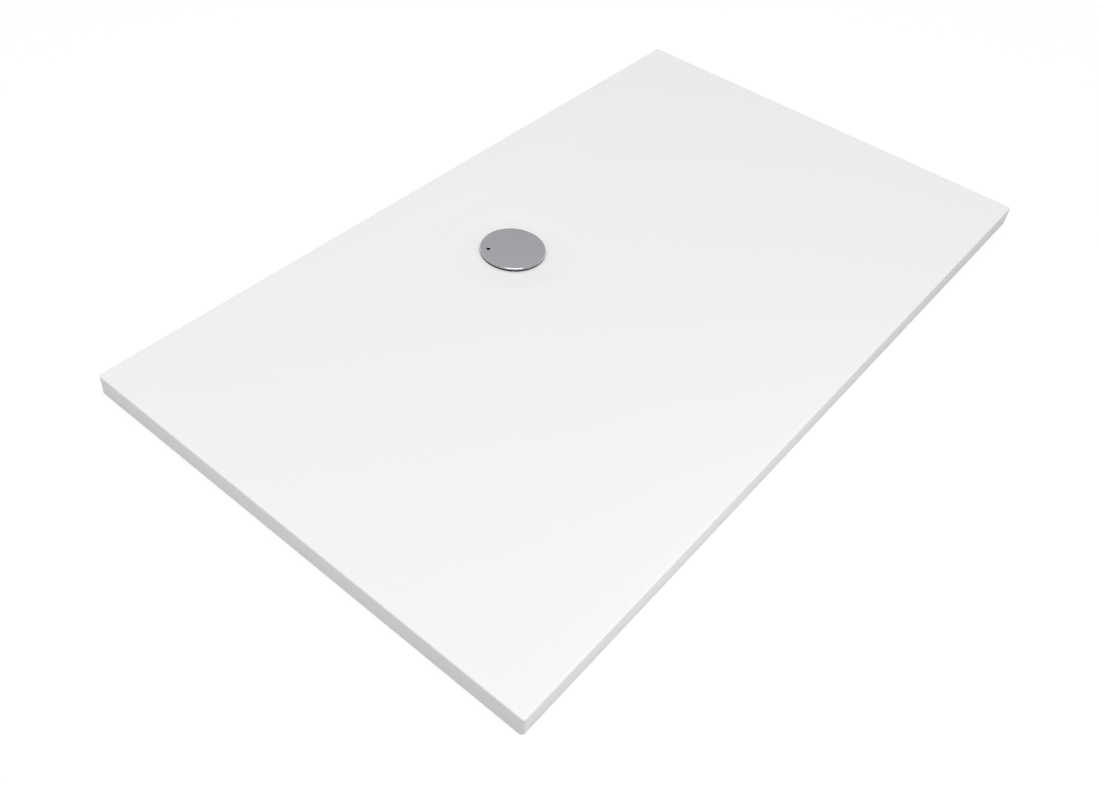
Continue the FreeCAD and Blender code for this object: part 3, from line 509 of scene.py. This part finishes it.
def trayRows(turns):
    # the section along every ray, from the waste hole up over the top, down the skirt and back inside
    wall = tray["wall"]
    fallRim = rayReach(turns, tray["rimWidth"], tray["fallCorner"])
    edge = rayReach(turns, tray["edgeRound"], tray["corner"] - tray["edgeRound"])
    inner = rayReach(turns, wall, tray["corner"] - wall)
    dishEdge = rimLevel - tray["fallDrop"]
    rows = []

    def ring(radius, level):
        rows.append((np.full_like(turns, radius), level))

    def outline(inset, level):
        rows.append((rayReach(turns, inset, tray["corner"] - inset), level))

    def topSurface(lowered, steps, rimEnd):
        dishSteps, fallSteps, rimSteps = steps
        strip = []
        for radius in np.linspace(tray["dishStart"], tray["dishRadius"], dishSteps):
            strip.append((np.full_like(turns, radius), dishLevel(radius, dishEdge) - lowered))
        for share in np.linspace(0, 1, fallSteps)[1:]:
            eased = share * share * (3 - 2 * share)  # level at both ends
            radius = tray["dishRadius"] + share * (fallRim - tray["dishRadius"])
            strip.append((radius, dishEdge + eased * tray["fallDrop"] - lowered))
        for share in np.linspace(0, 1, rimSteps)[1:]:
            strip.append((fallRim + share * (rimEnd - fallRim), rimLevel - lowered))
        return strip

    ring(tray["hole"], tray["seat"] - wall)
    ring(tray["hole"], tray["seat"])
    ring(tray["recess"], tray["seat"])
    bend = tray["recessRound"]
    for cosine, sine in arcSteps(tray["recessSteps"]):
        ring(tray["recess"] + bend * (1 - cosine), flangeTop - bend * (1 - sine))
    rows += topSurface(0, tray["topSteps"], edge)
    bend = tray["edgeRound"]
    for cosine, sine in arcSteps(tray["edgeSteps"])[1:]:
        outline(bend * (1 - sine), rimLevel - bend * (1 - cosine))
    bend = tray["footRound"]
    for cosine, sine in arcSteps(tray["footSteps"]):
        outline(bend * (1 - cosine), bend * (1 - sine))
    rows.append((inner, 0.0))
    rows += topSurface(wall, tray["undersideSteps"], inner)[::-1]
    ring(tray["recess"] + wall, flangeTop - wall)
    ring(tray["recess"] + wall, tray["seat"] - wall)
    return rows


def makeTray():
    # every row of the section carried round the waste's axis, as far out along each ray as the row reaches
    turns = trayTurns()
    rows = trayRows(turns)
    radii = np.stack([radius for radius, level in rows])
    levels = np.stack([np.full_like(turns, level) for radius, level in rows])
    points = np.stack([wasteX + radii * np.cos(turns), wasteY + radii * np.sin(turns), levels], axis=-1)
    piece = shellPiece(
        "trayCapping", points, "tray", finishes["whiteAcrylic"], tray["sharpAbove"]
    )
    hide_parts("acrylic_cap")


makeTray()
print("tray capping made")


cover = {
    "radius": 55.5 * mm, "edgeTop": 33.5 * mm, "crown": 0.6 * mm, "bottom": 30.5 * mm,
    "underside": 31.5 * mm, "topRound": 1.8 * mm, "bottomRound": 1 * mm, "rimWidth": 2 * mm,
    "hole": 3.5 * mm, "holeRound": 0.35 * mm, "holeLeft": 31 * mm, "holeBack": 28 * mm,
    "columns": 224, "holeSteps": 4, "topSteps": 34, "shoulderSteps": 11, "lowerSteps": 6,
    "undersideSteps": 10, "sharpAbove": 38,
}


def coverRows(turns):
    # closed section that runs from the lifting hole out over the top, round the rim and back underneath;
    # every row is a circle, and between the hole and the rim the circles slide from one middle to the other
    rows = []
    holeMiddle = np.array([-cover["holeLeft"], cover["holeBack"]])
    rimInside = cover["radius"] - cover["rimWidth"]
    rimStart = cover["radius"] - cover["topRound"]

    def top(x, y):
        return cover["edgeTop"] + cover["crown"] * (1 - (x**2 + y**2) / cover["radius"] ** 2)

    def circle(share, innerRadius, outerRadius, level=None):
        radius = innerRadius + share * (outerRadius - innerRadius)
        centre = (1 - share) * holeMiddle
        x = centre[0] + radius * np.cos(turns)
        y = centre[1] + radius * np.sin(turns)
        z = top(x, y) if level is None else np.full_like(x, level)
        rows.append(np.stack([x, y, z], axis=-1))

    circle(0, cover["hole"], 0, cover["underside"])
    bend = cover["holeRound"]
    for cosine, sine in arcSteps(cover["holeSteps"]):
        circle(0, cover["hole"] + bend * (1 - cosine), 0)
        rows[-1][:, 2] -= bend * (1 - sine)
    for share in np.linspace(0, 1, cover["topSteps"])[1:]:
        circle(share, cover["hole"] + bend, rimStart)
    shoulder = top(rimStart, 0)
    bend = cover["topRound"]
    for cosine, sine in arcSteps(cover["shoulderSteps"])[1:]:
        circle(1, 0, rimStart + bend * sine, shoulder - bend * (1 - cosine))
    bend = cover["bottomRound"]
    for cosine, sine in arcSteps(cover["lowerSteps"]):
        circle(1, 0, cover["radius"] - bend * (1 - cosine), cover["bottom"] + bend * (1 - sine))
    circle(1, 0, rimInside, cover["bottom"])
    for share in np.linspace(1, 0, cover["undersideSteps"])[:-1]:
        circle(share, cover["hole"], rimInside, cover["underside"])
    return np.stack(rows)


def makeCover():
    # the circles of the cover's section, moved to the waste's axis
    turns = np.arange(cover["columns"]) * 2 * math.pi / cover["columns"]
    points = coverRows(turns) + np.array([wasteX, wasteY, 0])
    piece = shellPiece(
        "wasteCoverPlate", points, "cover", finishes["brightChrome"], cover["sharpAbove"]
    )
    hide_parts("waste_cover")


makeCover()
print("cover made")


thread = {
    "root": 23.75 * mm, "crest": 24.03 * mm, "pitch": 3 * mm, "width": 1.7 * mm, "crestWidth": 0.6 * mm,
    "start": 2 * mm, "length": 14 * mm, "stepsATurn": 72, "fadeTurns": 0.35, "fadeTo": 0.02, "sharpAbove": 20,
}


def makeThread():
    # outlet thread: a trapezium carried along a helix about the outlet's axis, its height fading at both ends
    turnCount = thread["length"] / thread["pitch"]
    steps = int(turnCount * thread["stepsATurn"])
    wound = np.linspace(0, turnCount, steps)
    mouth = reach("outlet_spigot", 1, 1)
    fade = np.clip(np.minimum(wound, turnCount - wound) / thread["fadeTurns"], thread["fadeTo"], 1)
    root = np.full(steps, thread["root"])
    crest = thread["root"] + (thread["crest"] - thread["root"]) * fade
    radius = np.stack([root, crest, crest, root], axis=-1)
    half = np.array([-thread["width"], -thread["crestWidth"], thread["crestWidth"], thread["width"]]) / 2
    turn = (wound * 2 * math.pi)[:, None]
    along = mouth - thread["start"] - wound[:, None] * thread["pitch"] + half[None, :]
    points = np.stack([wasteX + radius * np.cos(turn), along, outletLevel + radius * np.sin(turn)], axis=-1)
    index = numbered(points)
    ends = [index[0].tolist(), index[-1][::-1].tolist()]
    piece = newPiece("outletThread", points, stripFaces(index) + ends, finishes["whitePlastic"])
    shadeSmooth(piece, thread["sharpAbove"])
    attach(piece, "tray")


makeThread()
print("outlet thread made")


stage = {
    "underTray": 4 * mm, "outside": 9.0, "rings": 24, "below": 0.4 * mm,
    "colour": 0.22, "glow": 0.8, "fullGlowFrom": 2.2, "fullGlowTo": 4.0,
}


def makeFloorMaterial():
    # the floor takes the tray's shadow; seen by the camera or mirrored it is near white, further off fully
    # white, and from underneath it isn't there
    material, tree, shader, place = startMaterial("floorWhite", centre=(wasteX, wasteY, 0))
    tree.nodes.remove(shader)
    soft = addNode(tree, "ShaderNodeBsdfDiffuse", {"Color": (stage["colour"],) * 3 + (1,)})
    light = addNode(tree, "ShaderNodeLightPath").outputs
    seen = maths(tree, "MAXIMUM", light["Is Camera Ray"], light["Is Glossy Ray"])
    seen = maths(tree, "MAXIMUM", seen, light["Is Transmission Ray"])
    glow = addNode(tree, "ShaderNodeEmission", {"Strength": maths(tree, "MULTIPLY", seen, stage["glow"])})
    near = addNode(tree, "ShaderNodeAddShader", {0: soft.outputs[0], 1: glow.outputs[0]})
    distance = vectorMaths(tree, "LENGTH", "Value", place)
    far = smoothStep(tree, distance, stage["fullGlowFrom"], stage["fullGlowTo"])
    white = addNode(tree, "ShaderNodeEmission", {"Strength": seen})
    farShare = maths(tree, "MULTIPLY", far, seen)
    mixed = addNode(tree, "ShaderNodeMixShader", {0: farShare, 1: near.outputs[0], 2: white.outputs[0]})
    clear = addNode(tree, "ShaderNodeBsdfTransparent")
    back = addNode(tree, "ShaderNodeNewGeometry").outputs["Backfacing"]
    surface = addNode(tree, "ShaderNodeMixShader", {0: back, 1: mixed.outputs[0], 2: clear.outputs[0]})
    tree.links.new(surface.outputs[0], tree.nodes["Material Output"].inputs["Surface"])
    return material


def makeFloor():
    # flat rings that start a little way under the tray's edge and open out to a circle, so that the tray's
    # underside and its trap are lit and seen from below
    turns = trayTurns()
    inner = rayReach(turns, stage["underTray"], tray["corner"])
    radii = np.geomspace(inner, stage["outside"], stage["rings"])
    x = wasteX + radii * np.cos(turns)
    y = wasteY + radii * np.sin(turns)
    points = np.stack([x, y, np.full_like(x, -stage["below"])], axis=-1)
    floor = newPiece("floor", points, stripFaces(numbered(points)), makeFloorMaterial())


world = {
    "overhead": (0.72, 0.72, 0.73), "horizon": (0.35, 0.35, 0.35),
    "backdrop": (1, 1, 1), "behind": (0.05, 0.05, 0.052), "lowBelow": 0.1, "lowAbove": 0.55,
    "ahead": (0.807, 0.59, 0), "aheadFrom": -0.25, "aheadTo": 0.25,
}


def makeWorld():
    # grey studio room, darker low down; the camera sees a white backdrop there, and what mirrors the room sees
    # that backdrop ahead and the dark end of the room behind the camera
    studio = bpy.data.worlds.new("studio")
    bpy.context.scene.world = studio
    studio.use_nodes = True
    tree = studio.node_tree
    toward = addNode(tree, "ShaderNodeTexCoord").outputs["Generated"]
    up = addNode(tree, "ShaderNodeSeparateXYZ", {"Vector": toward}).outputs["Z"]
    light = addNode(tree, "ShaderNodeLightPath").outputs
    mirrored = maths(tree, "MAXIMUM", light["Is Glossy Ray"], light["Is Transmission Ray"])
    seen = maths(tree, "MAXIMUM", light["Is Camera Ray"], mirrored)
    low = smoothStep(tree, up, world["lowAbove"], world["lowBelow"])
    facing = vectorMaths(tree, "DOT_PRODUCT", "Value", toward, world["ahead"])
    front = smoothStep(tree, facing, world["aheadFrom"], world["aheadTo"])
    whiteShare = maths(tree, "MAXIMUM", front, light["Is Camera Ray"])
    room = blendColours(tree, maths(tree, "MAXIMUM", up, 0.0), world["horizon"], world["overhead"])
    ends = blendColours(tree, whiteShare, world["behind"], world["backdrop"])
    lowSeen = maths(tree, "MULTIPLY", seen, low)
    both = addNode(tree, "ShaderNodeMix", {"Factor": lowSeen, 6: room, 7: ends}, data_type="RGBA")
    tree.links.new(both.outputs[2], tree.nodes["Background"].inputs["Color"])


# The low fills don't show in reflections: from behind they would blank out the tray's far edge.
lamps = {
    "keySoftbox": {
        "place": (-0.7, -0.9, 5.4), "aim": (0, -0.1, 0), "size": (3.0, 2.2), "power": 125, "mirrored": True,
    },
    "leftFill": {
        "place": (-2.0, -0.05, 0.25), "aim": (-0.7, -0.05, 0), "size": (0.6, 0.25), "power": 3.1,
        "mirrored": False,
    },
    "frontFill": {
        "place": (-0.4, -1.15, 0.17), "aim": (-0.4, -0.4, 0.01), "size": (0.6, 0.2), "power": 1.85,
        "mirrored": False,
    },
}


def makeLamps():
    for name, lamp in lamps.items():
        data = bpy.data.lights.new(name, "AREA")
        data.shape = "RECTANGLE"
        data.size, data.size_y = lamp["size"]
        data.energy = lamp["power"]
        light = bpy.data.objects.new(name, data)
        light.visible_camera = False
        light.visible_glossy = lamp["mirrored"]
        light.location = lamp["place"]
        aim = Vector(lamp["aim"]) - Vector(lamp["place"])
        light.rotation_mode = "QUATERNION"
        light.rotation_quaternion = aim.to_track_quat("-Z", "Y")
        bpy.context.scene.collection.objects.link(light)


# Heading is counted from +X towards +Y, and roll about the line of sight, both in degrees.
view = {
    "place": (-1.2351, -0.7348, 1.1884), "heading": 36.64, "lookDown": 45.09, "roll": 5.41,
    "lens": 36.5, "shift": (0.0359, 0.0002),
}


def makeCamera():
    data = bpy.data.cameras.new("camera")
    data.lens = view["lens"]
    data.shift_x, data.shift_y = view["shift"]
    camera = bpy.data.objects.new("camera", data)
    heading, down = math.radians(view["heading"]), math.radians(view["lookDown"])
    ahead = Vector((math.cos(down) * math.cos(heading), math.cos(down) * math.sin(heading), -math.sin(down)))
    camera.location = view["place"]
    camera.rotation_mode = "QUATERNION"
    roll = Quaternion((0, 0, 1), math.radians(view["roll"]))
    camera.rotation_quaternion = ahead.to_track_quat("-Z", "Y") @ roll
    bpy.context.scene.collection.objects.link(camera)
    bpy.context.scene.camera = camera


makeFloor()
makeWorld()
makeLamps()
makeCamera()
bpy.context.scene.view_settings.view_transform = "Standard"
print("stage, lamps and camera made")
